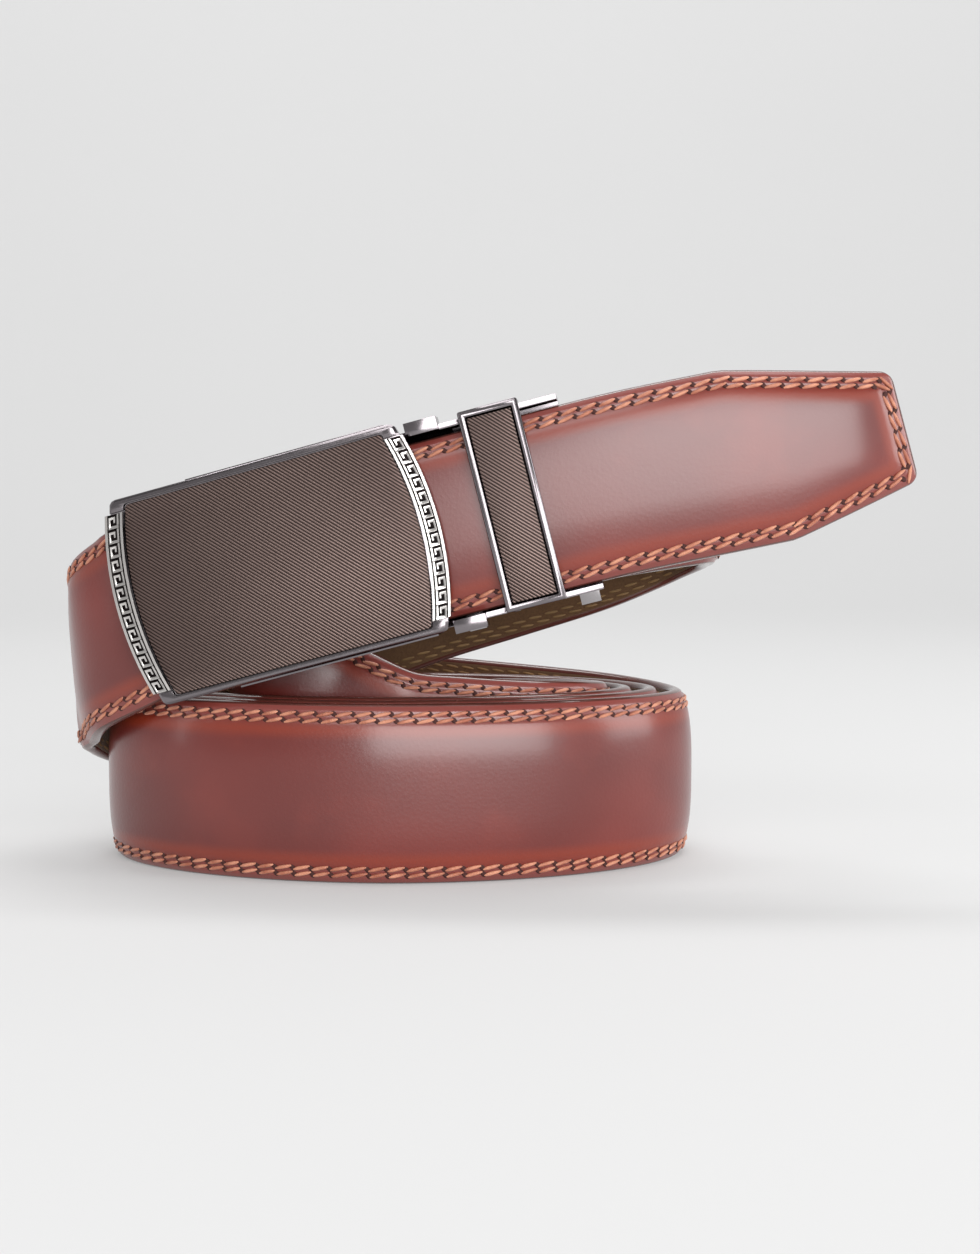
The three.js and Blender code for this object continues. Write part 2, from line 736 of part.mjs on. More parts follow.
function clampJaw() {
  const inner = wallInside - clearance - jawSideGap;
  const end = jawHinge + jawLength;
  const shoulder = jawHinge + jawShoulder + jawShoulderGap;
  let jaw = boxSolid([jawHinge, -inner, jawBack], [end, inner, jawFront]);
  const wide = boxSolid([shoulder, -wallOutside, jawBack], [end, wallOutside, jawFront]);
  const tab = boxSolid([end - jawTabWidth, -jawTabReach, jawBack], [end, -wallOutside + join, jawFront]);
  const boss = crossPin(jawHinge, -jawDepth, jawBoss, -inner, inner);
  jaw = jaw.add(wide).add(tab).add(boss);
  const pitch = (jawLength - jawTeethMargin) / jawTeeth;
  const toothHalf = inner - jawToothInset;
  for (let k = 0; k < jawTeeth; k += 1) {
    const u = jawHinge + jawTeethStart + k * pitch;
    const side = [
      [u, jawFront - join],
      [u + pitch * jawToothEnd, jawFront - join],
      [u + pitch * jawToothTip, jawFront + jawToothHeight],
    ];
    jaw = jaw.add(sideSolid(side, -toothHalf, toothHalf));
  }
  const bore = crossPin(jawHinge, -jawDepth, pinRadius + clearance, -inner - past, inner + past);
  return toGeometry(jaw.subtract(bore));
}

function pin(u, n) {
  const reach = wallOutside + pinOverhang;
  return toGeometry(crossPin(u, n, pinRadius, -reach, reach));
}

function named(name, geometry, color, roughness, metalness) {
  const mesh = new THREE.Mesh(geometry, new THREE.MeshStandardMaterial({ color, roughness, metalness }));
  mesh.name = name;
  return mesh;
}

const leather = ['#7c3326', 0.35, 0];
const suede = ['#4f3b22', 0.85, 0];
const gunmetal = ['#4a4648', 0.25, 1];
const brushed = ['#6a5a52', 0.4, 1];
const steel = ['#8d8a8c', 0.3, 1];
const nylon = ['#1d1a19', 0.5, 0];

const belt = new THREE.Group();
belt.add(named('strap', sweptSolid(stations, leatherSection, 0), ...leather));
belt.add(named('strap_lining', sweptSolid(stations, liningSection, liningInset), ...suede));
belt.add(named('ratchet_track', trackGeometry(), ...nylon));

const buckle = new THREE.Group();
buckle.matrixAutoUpdate = false;
buckle.matrix.makeBasis(buckleU, buckleW, buckleN).setPosition(buckleOrigin);
const face = new THREE.Group();
face.rotation.z = radians(faceTwist);
face.position.x = faceMiddle;
face.add(named('face_frame', faceFrame(), ...gunmetal));
face.add(named('face_insert', faceInsert(), ...brushed));
face.add(named('trim_left', trim(-1), ...steel));
face.add(named('trim_right', trim(1), ...steel));
buckle.add(face);
buckle.add(named('keeper_frame', keeperFrame(), ...gunmetal));
buckle.add(named('keeper_insert', keeperInsert(), ...brushed));
const works = new THREE.Group();
works.position.y = -frameDrop;
works.add(named('buckle_frame', buckleFrame(), ...gunmetal));
works.add(named('release_lever', releaseLever(), ...steel));
works.add(named('lever_pin', pin(leverHinge, -leverDepth), ...steel));
works.add(named('clamp_jaw', clampJaw(), ...steel));
works.add(named('jaw_pin', pin(jawHinge, -jawDepth), ...steel));
buckle.add(works);
belt.add(buckle);

// Standing on the floor, with the middle of its box over the origin
belt.updateMatrixWorld(true);
const bounds = new THREE.Box3().setFromObject(belt, true);
belt.position.set(-(bounds.min.x + bounds.max.x) / 2, -(bounds.min.y + bounds.max.y) / 2, -bounds.min.z);

export default belt;
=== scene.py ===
import math

import bpy
import numpy as np
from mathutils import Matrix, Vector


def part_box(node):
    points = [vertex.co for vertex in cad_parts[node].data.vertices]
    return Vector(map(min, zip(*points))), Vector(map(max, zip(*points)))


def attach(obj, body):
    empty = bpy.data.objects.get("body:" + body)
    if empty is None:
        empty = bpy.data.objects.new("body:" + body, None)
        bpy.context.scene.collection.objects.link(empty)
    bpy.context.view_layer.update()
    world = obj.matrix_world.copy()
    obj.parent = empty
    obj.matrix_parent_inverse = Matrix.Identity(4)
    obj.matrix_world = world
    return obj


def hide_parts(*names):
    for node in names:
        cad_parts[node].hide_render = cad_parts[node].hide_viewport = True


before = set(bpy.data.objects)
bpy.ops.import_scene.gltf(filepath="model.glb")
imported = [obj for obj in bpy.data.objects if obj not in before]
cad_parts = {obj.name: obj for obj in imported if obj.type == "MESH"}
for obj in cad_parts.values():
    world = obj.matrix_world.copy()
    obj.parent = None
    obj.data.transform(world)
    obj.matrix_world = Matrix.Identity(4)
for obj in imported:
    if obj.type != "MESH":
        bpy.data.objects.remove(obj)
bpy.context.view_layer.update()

# A ratchet belt, fastened and coiled on the edges of its strap. Sizes are in millimetres and
# places become metres where a mesh is made.
MM = 0.001

# Strap
strap_width = 35.0
rim_leather = 1.6
pad_height = 2.15
pad_power = 3.2
lining_back = 1.3
edge_bulge = 0.9
half_width = strap_width / 2

# Coil
coil_reach = 59.8
coil_half_depth = 32.4
turn_pitch = 5.4
coil_power = 1.85
samples_per_turn = 48

# Buckle axis
buckle_inset = 40.3
buckle_set_back = 7.75
buckle_height = 61.6
buckle_slope = math.radians(14.3)
buckle_yaw = math.radians(-5)
strap_drop = 0.8
frame_end = 59.3
keeper_inset = 13.1
clamped_start = 37.5
clamped_depth = 7.6
clamped_pad = 0.3
clamped_release = 18.0
straight_start = -24.0
keeper_middle = frame_end - keeper_inset
keeper_width = 11.8
keeper_end = keeper_middle + keeper_width / 2

# Tail
tail_length = 73.4
tail_yaw = math.radians(14)
tail_slope = math.radians(11.3)
tip_taper_above = 36.0
tip_taper_below = 27.0
tip_width = 22.1
tip_skew = 2.2
tip_corner = 2.2

# Cross section of the strap: distances in from the edge of its points, and its hidden back
section_insets = (1.25, 1.6, 1.95, 2.3, 2.6, 2.9, 3.2, 3.6, 4.2, 5.2, 6.6, 8.4, 10.6, 13.2)
section_step = 1.9
edge_steps = 6
dome_start = 3.6
leather_back = 0.15 - lining_back
back_middle = leather_back + 0.15
end_rounding = 0.9
paint_line = 0.12
painted_tip = 0.8
tip_steps = (0, 0.05, 0.15, 0.3, 0.5, 0.75, 1.05, 1.4, 1.8, 2.2, 2.7, 3.3, 4, 5)
# The flat outline of the tip: where it starts, and within what distance it shapes the edge
outline_start = 60.0
outline_step = 0.15
tip_zone = 52

# The lining: side of the strap, distance in from its edge, height; and where it ends
lining_section = (
    (-1, 1.1, -0.9), (-1, 1.05, -1.22), (-1, 1.25, -1.3), (-1, 6.0, -1.3), (1, 17.5, -1.3),
    (1, 6.0, -1.3), (1, 1.25, -1.3), (1, 1.05, -1.22), (1, 1.1, -0.9),
)
lining_end = 1.2

# Stitching: distance of the two rows from the edge, length of one stitch, half sizes and slants
stitch_rows = (1.95, 3.2)
stitch_pitch = 3.7
row_start = 26
row_step = 1.2
row_seat = 0.12
stitch_size, stitch_slant, stitch_lift = (1.9, 0.4, 0.36), math.radians(13), 0.1
hole_size, hole_slant, hole_lift = (0.8, 0.5, 0.12), math.radians(-50), 0.14
back_size, back_slant = (1.5, 0.3, 0.2), math.radians(-6)
groove_depth = 0.16
groove_spread = 0.38
groove_limit = 0.2

# Buckle and keeper: the keeper's panel over the leather, rounded edges, distance between lines
keeper_panel_rise = 0.3 + 1.7 - 0.4
cast_rounding = 0.36
channel_rounding = 0.3
works_rounding = 0.15
small_rounding = 0.12
trim_rounding = 0.06
line_pitch = 0.58
merge_distance = 2e-6

# turns, rise (share of the width), lean (degrees), outset (share of the pitch), pad (share)
coil_rows = (
    (-3.125, 0.075, 0, 0, 0.7), (-3, 0.04, 0, 0, 0.7), (-2.75, 0.012, 0, 0, 0.7),
    (-2.5, 0.008, 0, 0, 0.7), (-2.25, 0.006, 0, 0, 0.7), (-2, 0.014, 0, 0, 0.7),
    (-1.75, 0, 0, 0, 0.7), (-1.5, 0, 0, 0, 0.7), (-1.25, 0.003, 0, 0, 0.7),
    (-1, 0.01, 0, 0, 0.7), (-0.75, 0.02, 0, 0, 0.7), (-0.5, 0, 0, 0, 0.85),
    (-0.25, 0, 0, 0, 1), (0, 0, 0, 0, 1), (0.125, 0.05, 0, 0, 1),
    (0.25, 0.14, 1, 0.05, 1), (0.375, 0.33, 3, 0.18, 1), (0.5, 0.63, 5, 0.32, 1),
)
# The raised loop behind the buckle: shares of the reach, of the half depth and of the width
loop_rows = (
    (1.04, -0.58, 1.76), (1.09, -0.31, 1.75), (1.065, 0.0, 1.72), (0.94, 0.23, 1.63),
    (0.7, 0.34, 1.45), (0.38, 0.41, 1.27), (0.08, 0.415, 1.11), (-0.23, 0.365, 0.91),
    (-0.38, 0.305, 0.8), (-0.485, 0.215, 0.715), (-0.535, 0.025, 0.625), (-0.49, -0.165, 0.54),
    (-0.38, -0.245, 0.445), (-0.2, -0.27, 0.295), (0.02, -0.33, 0.139), (0.25, -0.37, 0.1),
)
turn_rows = ((-1.003, -0.432, 0.797, 4), (-0.853, -0.648, 0.946, 1))

# The buckle's own directions: along the strap, across it, and out of its face
along_buckle = np.array((math.cos(buckle_slope) * math.cos(buckle_yaw),
                         math.cos(buckle_slope) * math.sin(buckle_yaw), math.sin(buckle_slope)))
out_of_buckle = np.array((math.sin(buckle_yaw), -math.cos(buckle_yaw), 0.0))
across_buckle = np.cross(out_of_buckle, along_buckle)


def in_buckle(u, w, n):
    """A point of the buckle, before the whole belt is set over the middle of its box."""
    origin = np.array((buckle_inset - coil_reach, buckle_set_back - coil_half_depth, buckle_height))
    return origin + u * along_buckle + w * across_buckle + n * out_of_buckle


# The keeper's lined panel is a box about a known point, so it gives where the belt stands
keeper_low, keeper_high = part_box("keeper_insert")
keeper_panel_middle = rim_leather + pad_height + keeper_panel_rise
panel_place = in_buckle(keeper_middle, 0, keeper_panel_middle)
stand = np.array((keeper_low + keeper_high) / 2) / MM - panel_place


# ---- camera ----
view_pixels = 1571.0
frame_height_pixels = 1254.0
sensor = 36.0
camera_place = (20.5, -334, 66.8)
camera_pitch = 3.23
camera_data = bpy.data.cameras.new("camera")
camera_data.sensor_width = sensor
camera_data.lens = sensor * view_pixels / frame_height_pixels
camera = bpy.data.objects.new("camera", camera_data)
bpy.context.collection.objects.link(camera)
camera.location = (stand + camera_place) * MM
camera.rotation_euler = (math.radians(90 - camera_pitch), 0, 0)
camera_data.clip_start = 0.01
bpy.context.scene.camera = camera


# ---- small shader language ----
class Sum:
    """One socket of a material's nodes, with arithmetic that adds its Math nodes."""

    def __init__(self, tree, socket):
        self.tree = tree
        self.socket = socket

    def maths(self, operation, other=None):
        node = add_node(self.tree, "ShaderNodeMath", {"operation": operation}, {0: self, 1: other})
        return Sum(self.tree, node.outputs[0])

    def __add__(self, other):
        return self.maths("ADD", other)

    __radd__ = __add__

    def __sub__(self, other):
        return self.maths("SUBTRACT", other)

    def __rsub__(self, other):
        return (self * -1) + other

    def __mul__(self, other):
        return self.maths("MULTIPLY", other)

    __rmul__ = __mul__

    def ramp(self, low, high):
        """0 below low, 1 above high, smooth between."""
        node = add_node(self.tree, "ShaderNodeMapRange", {"interpolation_type": "SMOOTHSTEP"},
                        {"Value": self, "From Min": low, "From Max": high})
        return Sum(self.tree, node.outputs["Result"])

    def near(self, middle, reach):
        """1 at middle, falling to 0 at the distance reach."""
        return 1 - (self - middle).maths("ABSOLUTE").ramp(0.0, reach)


def plug(tree, target, value):
    """Sets or links one input of a node. None leaves it as it is."""
    if value is None:
        return
    if isinstance(value, Sum):
        tree.links.new(value.socket, target)
    elif isinstance(value, (tuple, list)) and len(value) == 3 and len(target.default_value) == 4:
        target.default_value = (*value, 1)
    else:
        target.default_value = value


def add_node(tree, kind, settings, values):
    """One node of a kind, its settings first and then its inputs."""
    node = tree.nodes.new(kind)
    for name, value in settings.items():
        setattr(node, name, value)
    for name, value in values.items():
        plug(tree, node.inputs[name], value)
    return node


class Finish:
    """A material with one Principled shader."""

    def __init__(self, name, **constants):
        self.material = bpy.data.materials.new(name)
        self.material.use_nodes = True
        self.tree = self.material.node_tree
        self.shader = self.tree.nodes["Principled BSDF"]
        self.feed(**constants)

    def feed(self, **inputs):
        """Numbers or links for the shader's inputs, named with _ for a space."""
        for key, value in inputs.items():
            plug(self.tree, self.shader.inputs[key.replace("_", " ")], value)

    def node(self, kind, settings=None, values=None, output=0):
        made = add_node(self.tree, kind, settings or {}, values or {})
        return Sum(self.tree, made.outputs[output])

    def place(self):
        return self.node("ShaderNodeTexCoord", output="Object")

    def attribute(self, name, output="Vector"):
        return self.node("ShaderNodeAttribute", {"attribute_name": name}, {}, output)

    def noise(self, vector, scale, detail=3.0, rough=0.5):
        values = {"Vector": vector, "Scale": scale, "Detail": detail, "Roughness": rough}
        return self.node("ShaderNodeTexNoise", {}, values, "Fac")

    def cells(self, vector, scale):
        values = {"Vector": vector, "Scale": scale}
        return self.node("ShaderNodeTexVoronoi", {"feature": "F1"}, values, "Distance")

    def mix(self, factor, first, second):
        values = {0: factor, 6: first, 7: second}
        return self.node("ShaderNodeMix", {"data_type": "RGBA"}, values, 2)

    def dot(self, vector, direction):
        values = {0: vector, 1: tuple(direction)}
        return self.node("ShaderNodeVectorMath", {"operation": "DOT_PRODUCT"}, values, "Value")

    def bump(self, height, distance, strength, normal=None):
        values = {"Height": height, "Distance": distance, "Strength": strength, "Normal": normal}
        return self.node("ShaderNodeBump", {}, values, "Normal")


def srgb(red, green, blue):
    """A colour as it is read off a screen, in the light values that a shader takes."""
    def linear(value):
        value /= 255
        return value / 12.92 if value <= 0.04045 else ((value + 0.055) / 1.055) ** 2.4
    return (linear(red), linear(green), linear(blue))


# ---- finishes ----
def leather_finish():
    """Padded chestnut leather: an orange burnish beside the stitches, and a paler rim outside them that
    is a painted reflection of the light on the flat margin.
    """
    finish = Finish("strap_leather", Coat_Roughness=0.2, Coat_IOR=1.5, Specular_IOR_Level=0.42)
    run = finish.attribute("run")
    edge = finish.attribute("edge", "Fac")
    cloud = finish.noise(run, 16.0, 3.0)
    streak = finish.noise(run, 70.0, 4.0)
    pebble = finish.cells(run, 1400.0)
    fine = finish.noise(run, 3600.0, 2.0)
    middle = finish.mix(cloud.ramp(0.35, 0.7), srgb(90, 27, 22), srgb(114, 38, 30))
    middle = finish.mix(streak.ramp(0.5, 0.75) * 0.25, middle, srgb(126, 45, 33))
    color = finish.mix(edge.near(4.9, 2.4) * 0.7, middle, srgb(126, 40, 14))
    # Painted reflection: the band from the stitches to the edge is mixed towards a paler pink brown,
    # standing in for the light that the flat margin catches.
    color = finish.mix(1 - edge.ramp(1.9, 3.7), color, srgb(118, 52, 45))
    finish.feed(Base_Color=color, Roughness=0.34 + cloud * 0.1, Coat_Weight=0.6 + cloud * 0.2)
    grain = finish.bump(pebble, 0.0001, 0.18)
    finish.feed(Normal=finish.bump(fine, 0.00005, 0.25, grain))
    return finish.material


def edge_finish():
    """Thick glossy edge paint, a little uneven."""
    finish = Finish("edge_paint", Coat_Weight=0.6, Coat_Roughness=0.08)
    run = finish.attribute("run")
    wave = finish.noise(run, 260.0, 2.0)
    finish.feed(Base_Color=finish.mix(wave, srgb(70, 34, 30), srgb(94, 50, 42)))
    finish.feed(Normal=finish.bump(wave, 0.0003, 0.3), Roughness=0.16 + wave * 0.16)
    return finish.material


def lining_finish():
    """Olive brown split leather with a short nap."""
    finish = Finish("lining_suede", Sheen_Weight=0.2, Sheen_Roughness=0.5)
    run = finish.attribute("run")
    cloud = finish.noise(run, 60.0, 4.0)
    nap = finish.noise(run, 2600.0, 4.0, 0.7)
    color = finish.mix(cloud, srgb(76, 50, 26), srgb(104, 72, 40))
    finish.feed(Base_Color=finish.mix(nap.ramp(0.35, 0.65) * 0.4, color, srgb(60, 38, 20)))
    finish.feed(Normal=finish.bump(nap, 0.0003, 0.5), Roughness=0.8 + nap * 0.15)
    return finish.material


def thread_finish():
    """Waxed tan thread, with the twist of its plies."""
    finish = Finish("waxed_thread", Sheen_Weight=0.1)
    place = finish.place()
    cloud = finish.noise(place, 300.0, 2.0)
    ply = finish.noise(place, 3500.0, 2.0)
    color = finish.mix(cloud.ramp(0.3, 0.7), srgb(156, 88, 64), srgb(198, 134, 106))
    finish.feed(Base_Color=color)
    finish.feed(Normal=finish.bump(ply, 0.0003, 0.7), Roughness=0.34 + ply * 0.2)
    return finish.material


def lining_thread_finish():
    """Dull olive thread on the inner face."""
    finish = Finish("lining_thread")
    cloud = finish.noise(finish.place(), 300.0, 2.0)
    finish.feed(Base_Color=finish.mix(cloud, srgb(112, 84, 48), srgb(138, 106, 66)))
    finish.feed(Roughness=0.5 + cloud * 0.2, Normal=finish.bump(cloud, 0.0002, 0.4))
    return finish.material


def hole_shade_finish():
    """The pricked holes that the thread goes through, as small dark marks: their colour is painted shade
    inside the holes.
    """
    finish = Finish("pricked_hole_shade", Roughness=0.8)
    shade = finish.noise(finish.place(), 900.0, 2.0)
    finish.feed(Base_Color=finish.mix(shade, srgb(44, 12, 8), srgb(66, 20, 12)))
    return finish.material


def gunmetal_finish(name, dark, light, rough):
    """Polished dark nickel plate with faint wear and wipe marks."""
    finish = Finish(name, Metallic=1.0)
    place = finish.place()
    cloud = finish.noise(place, 90.0, 3.0)
    wipe = finish.noise(place, 1200.0, 2.0)
    finish.feed(Base_Color=finish.mix(cloud, dark, light), Roughness=rough + wipe * 0.08)
    finish.feed(Normal=finish.bump(cloud, 0.00004, 0.1))
    return finish.material


def lined_finish(name, turn):
    """Satin metal panel with fine rolled lines at 45 degrees across it."""
    finish = Finish(name, Metallic=0.85)
    place = finish.place()
    lines_across = math.cos(turn) * along_buckle + math.sin(turn) * across_buckle
    phase = finish.dot(place, lines_across) * (2 * math.pi / (line_pitch * MM))
    ridge = phase.maths("SINE") * 0.5 + 0.5
    cloud = finish.noise(place, 40.0, 3.0)
    scratch = finish.noise(place, 2000.0, 2.0)
    plate = finish.mix(cloud, srgb(100, 83, 78), srgb(116, 99, 94))
    finish.feed(Base_Color=finish.mix(1 - ridge.ramp(0.1, 0.75), plate, srgb(46, 37, 34)))
    finish.feed(Roughness=0.3 + scratch * 0.14)
    finish.feed(Normal=finish.bump(ridge, 0.0001, 0.6))
    return finish.material


def relief_finish(level):
    """Bright polished relief standing on a blackened ground, by height out of the buckle."""
    finish = Finish("trim_relief", Metallic=1.0)
    place = finish.place()
    height = finish.dot(place, out_of_buckle)
    top = height.ramp(level - 0.3 * MM, level - 0.08 * MM)
    cloud = finish.noise(place, 200.0, 3.0)
    bright = finish.mix(cloud, srgb(196, 192, 190), srgb(226, 222, 218))
    finish.feed(Base_Color=finish.mix(top, srgb(26, 22, 22), bright), Roughness=0.42 - top * 0.2)
    finish.feed(Normal=finish.bump(cloud, 0.00004, 0.3))
    return finish.material


def nylon_finish():
    """Black moulded nylon with a fine matt speckle."""
    finish = Finish("track_nylon")
    speck = finish.noise(finish.place(), 1500.0, 2.0)
    finish.feed(Base_Color=finish.mix(speck, srgb(30, 27, 26), srgb(44, 40, 38)))
    finish.feed(Normal=finish.bump(speck, 0.00005, 0.4), Roughness=0.45 + speck * 0.15)
    return finish.material


# ---- the strap's route ----
def row_value(rows, column, at):
    """Smooth values between the rows of a table, without overshoot."""
    i = 0
    while i < len(rows) - 2 and rows[i + 1][0] < at:
        i += 1

    def gap(k):
        return rows[k + 1][0] - rows[k][0]

    def rate(k):
        return (rows[k + 1][column] - rows[k][column]) / gap(k)

    def tangent(k):
        if k <= 0:
            return rate(0)
        if k >= len(rows) - 1:
            return rate(len(rows) - 2)
        before, after = rate(k - 1), rate(k)
        return 0 if before * after <= 0 else 2 * before * after / (before + after)

    t = min(1, max(0, (at - rows[i][0]) / gap(i)))
    start = rows[i][column] + t * t * (3 - 2 * t) * (rows[i + 1][column] - rows[i][column])
    return start + gap(i) * t * (1 - t) * ((1 - t) * tangent(i) - t * tangent(i + 1))


def signed_power(value, power):
    return math.copysign(abs(value) ** power, value)


def coil_point(turns):
    """The strap's middle line in the coil, after a number of turns from its right end."""
    angle = turns * 2 * math.pi
    grown = turn_pitch * (turns + row_value(coil_rows, 3, turns))
    return (
        (coil_reach + grown) * signed_power(math.cos(angle), 2 / coil_power),
        (coil_half_depth + grown + turn_pitch / 4) * signed_power(math.sin(angle), 2 / coil_power),
        half_width + row_value(coil_rows, 1, turns) * strap_width,
    )


def raised_point(row):
    return (row[0] * coil_reach, row[1] * coil_half_depth, half_width + row[2] * strap_width)


def strap_route():
    """Points, leans and padding of the strap's middle line, from the clamped end to the tip."""
    route = []
    for k in range(4):
        u = clamped_start + k * (frame_end - clamped_start) / 3
        route.append((*in_buckle(u, -strap_drop, -clamped_depth), 0, 1))
    for row in loop_rows:
        route.append((*raised_point(row), 0, 0.7 if row[2] < 1 else 1))
    first, last = coil_rows[0][0], coil_rows[-1][0]
    count = round((last - first) * samples_per_turn)
    for i in range(count + 1):
        turns = first + (last - first) * i / count
        route.append((*coil_point(turns), row_value(coil_rows, 2, turns), row_value(coil_rows, 4, turns)))
    for row in turn_rows:
        route.append((*raised_point(row), row[3], 1))
    for k in range(8):
        u = straight_start + k * (frame_end - straight_start) / 7
        route.append((*in_buckle(u, -strap_drop, 0), 0, 1))
    at = in_buckle(frame_end, -strap_drop, 0)
    steps = 12
    length = (keeper_end + tail_length - frame_end) / steps
    for i in range(steps):
        share = (i + 0.5) / steps
        yaw = buckle_yaw + (tail_yaw - buckle_yaw) * share
        slope = buckle_slope + (tail_slope - buckle_slope) * min(1, 4 * share)
        flat = math.cos(slope)
        at = at + length * np.array((flat * math.cos(yaw), flat * math.sin(yaw), math.sin(slope)))
        route.append((*at, 0, 1))
    return np.array(route)


def smooth_line(route, per_gap=14):
    """A centripetal spline through the route, as dense samples of place, lean and padding."""
    points = route[:, :3]
    ends = np.vstack((2 * points[0] - points[1], points, 2 * points[-1] - points[-2]))
    samples = []
    for k in range(len(points) - 1):
        a, b, c, d = ends[k:k + 4]
        d0, d1, d2 = (float(np.dot(q - p, q - p)) ** 0.25 for p, q in ((a, b), (b, c), (c, d)))
        m1 = ((b - a) / d0 - (c - a) / (d0 + d1) + (c - b) / d1) * d1
        m2 = ((c - b) / d1 - (d - b) / (d1 + d2) + (d - c) / d2) * d1
        last = k == len(points) - 2
        for t in np.linspace(0, 1, per_gap + 1)[:None if last else -1]:
            bend = (3 * (c - b) - 2 * m1 - m2) * t * t
            place = b + m1 * t + bend + (2 * (b - c) + m1 + m2) * t ** 3
            samples.append((*place, *(route[k, 3:] * (1 - t) + route[k + 1, 3:] * t)))
    return np.array(samples)


line = smooth_line(strap_route())
gaps = np.linalg.norm(np.diff(line[:, :3], axis=0), axis=1)
reach_along = np.concatenate(([0], np.cumsum(gaps)))
strap_length = reach_along[-1]
line_tangent = np.gradient(line[:, :3], reach_along, axis=0)
line_tangent /= np.linalg.norm(line_tangent, axis=1)[:, None]


def smooth_step(x):
    x = min(1, max(0, x))
    return x * x * (3 - 2 * x)


def station(s):
    """Place, along, across, outward and padding of the strap at a distance s from its cut end."""
    place = np.array([np.interp(s, reach_along, line[:, k]) for k in range(3)])
    t = np.array([np.interp(s, reach_along, line_tangent[:, k]) for k in range(3)])
    t /= np.linalg.norm(t)
    lean = math.radians(np.interp(s, reach_along, line[:, 3]))
    upright = np.array((0, 0, 1.0)) - t * t[2]
    upright /= np.linalg.norm(upright)
    outward = np.cross(t, upright)
    w = upright * math.cos(lean) + outward * math.sin(lean)
    left = strap_length - s
    held = frame_end - clamped_start
    free = smooth_step((s - held) / clamped_release)
    tip = 1 - (1 - min(1, left / half_width)) ** pad_power
    pad = (clamped_pad + (1 - clamped_pad) * free) * tip * np.interp(s, reach_along, line[:, 4])
    return place, t, w, np.cross(t, w), pad, left


def tip_half(left, taper):
    """Half the strap's width at a distance left to its tip, with the tip's rounded corner."""
    end_half = tip_width / 2
    tapered = half_width if left >= taper else end_half + (half_width - end_half) * left / taper
    if left >= tip_corner:
        return tapered
    return tapered - tip_corner + math.sqrt(max(0, tip_corner ** 2 - (tip_corner - left) ** 2))


def half_at(left, side):
    """Half the strap's width on one side: -1 is the lower edge, whose taper is shorter."""
    return tip_half(left, tip_taper_above if side > 0 else tip_taper_below)


def skew_at(left, across):
    """How far the slanted tip moves a point along the strap."""
    fade = 1 - smooth_step(left / tip_taper_above)
    return -tip_skew * fade * (across + tip_width / 2) / tip_width


def on_strap(s, side, inset, height):
    """A point of the strap: side -1 is the lower edge, inset is measured in from that edge."""
    place, t, w, n, _, left = station(s)
    across = side * (half_at(left, side) - inset)
    return place + w * across + n * height + t * skew_at(left, across) + stand


def tip_outline():
    """The strap's flat outline round its tip: distance left along the strap, and across it."""
    lefts = [*np.arange(outline_start, 4.0, -1.0), *np.linspace(4.0, 0.0, 41)]

    def border(side):
        edges = [(left, side * half_at(left, side)) for left in lefts]
        return [(left - skew_at(left, across), across) for left, across in edges]

    corners = np.array(border(-1) + border(1)[::-1])
    fine = [corners[0]]
    for a, b in zip(corners[:-1], corners[1:]):
        steps = max(1, int(np.linalg.norm(b - a) / outline_step))
        fine.extend(a + (b - a) * k / steps for k in range(1, steps + 1))
    return np.array(fine)


outline = tip_outline()


def edge_distance(left, across):
    """Distance from a flat point to the nearest edge of the strap."""
    if left > tip_zone:
        return half_width - abs(across)
    point = np.array((left - skew_at(left, across), across))
    return float(np.sqrt(((outline - point) ** 2).sum(axis=1).min()))


def outer_height(inset, pad):
    """Height of the leather's outer face at a distance in from the edge."""
    share = max(0.0, 1 - inset / half_width)
    return rim_leather + pad_height * pad * (1 - share ** pad_power)


def groove(inset):
    """Depth that the thread has pulled into the leather along the two stitch rows."""
    dips = (math.exp(-((inset - row) / groove_spread) ** 2) for row in stitch_rows)
    return min(groove_limit, sum(groove_depth * dip for dip in dips))


# ---- mesh helpers ----
def only(piece):
    """Leaves one piece selected and active, in object mode."""
    if bpy.context.object and bpy.context.object.mode != "OBJECT":
        bpy.ops.object.mode_set(mode="OBJECT")
    bpy.ops.object.select_all(action="DESELECT")
    piece.select_set(True)
    bpy.context.view_layer.objects.active = piece


def tube_of_sections(name, rows):
    """A grid bent round a row of sections, its seam merged and its ends filled."""
    rows = np.array(rows)
    count, corners = rows.shape[:2]
    bpy.ops.object.select_all(action="DESELECT")
    bpy.ops.mesh.primitive_grid_add(x_subdivisions=corners, y_subdivisions=count - 1, size=0.1)
    piece = bpy.context.object
    piece.name = name
    rows = np.concatenate((rows, rows[:, :1]), axis=1)
    values = rows.reshape(-1, rows.shape[2])
    mesh = piece.data
    mesh.vertices.foreach_set("co", (values[:, :3] * MM).ravel().astype(np.float32))
    run = mesh.attributes.new("run", "FLOAT_VECTOR", "POINT")
    run.data.foreach_set("vector", (values[:, 3:6] * MM).ravel().astype(np.float32))
    edge = mesh.attributes.new("edge", "FLOAT", "POINT")
    edge.data.foreach_set("value", values[:, 6].astype(np.float32))
    mesh.update()
    only(piece)
    bpy.ops.object.mode_set(mode="EDIT")
    bpy.ops.mesh.select_all(action="SELECT")
    bpy.ops.mesh.remove_doubles(threshold=merge_distance)
    bpy.ops.mesh.select_all(action="DESELECT")
    bpy.ops.mesh.select_non_manifold()
    bpy.ops.mesh.fill_holes(sides=0)
    bpy.ops.mesh.select_all(action="SELECT")
    bpy.ops.mesh.normals_make_consistent(inside=False)
    bpy.ops.object.mode_set(mode="OBJECT")
    return piece


def station_lengths():
    """Where the strap is cut into sections: evenly, and closer at the tip."""
    body = np.arange(0, strap_length - tip_steps[-1] - 0.8, section_step)
    return [*body, *[strap_length - step for step in reversed(tip_steps)]]


def section_point(s, left, side, inset, height, shade_edge):
    """One corner of a section: its place, its place on the flat strap, its distance from the edge."""
    x, y, z = on_strap(s, side, inset, height)
    return (x, y, z, s, side * (half_at(left, side) - inset), height, shade_edge)


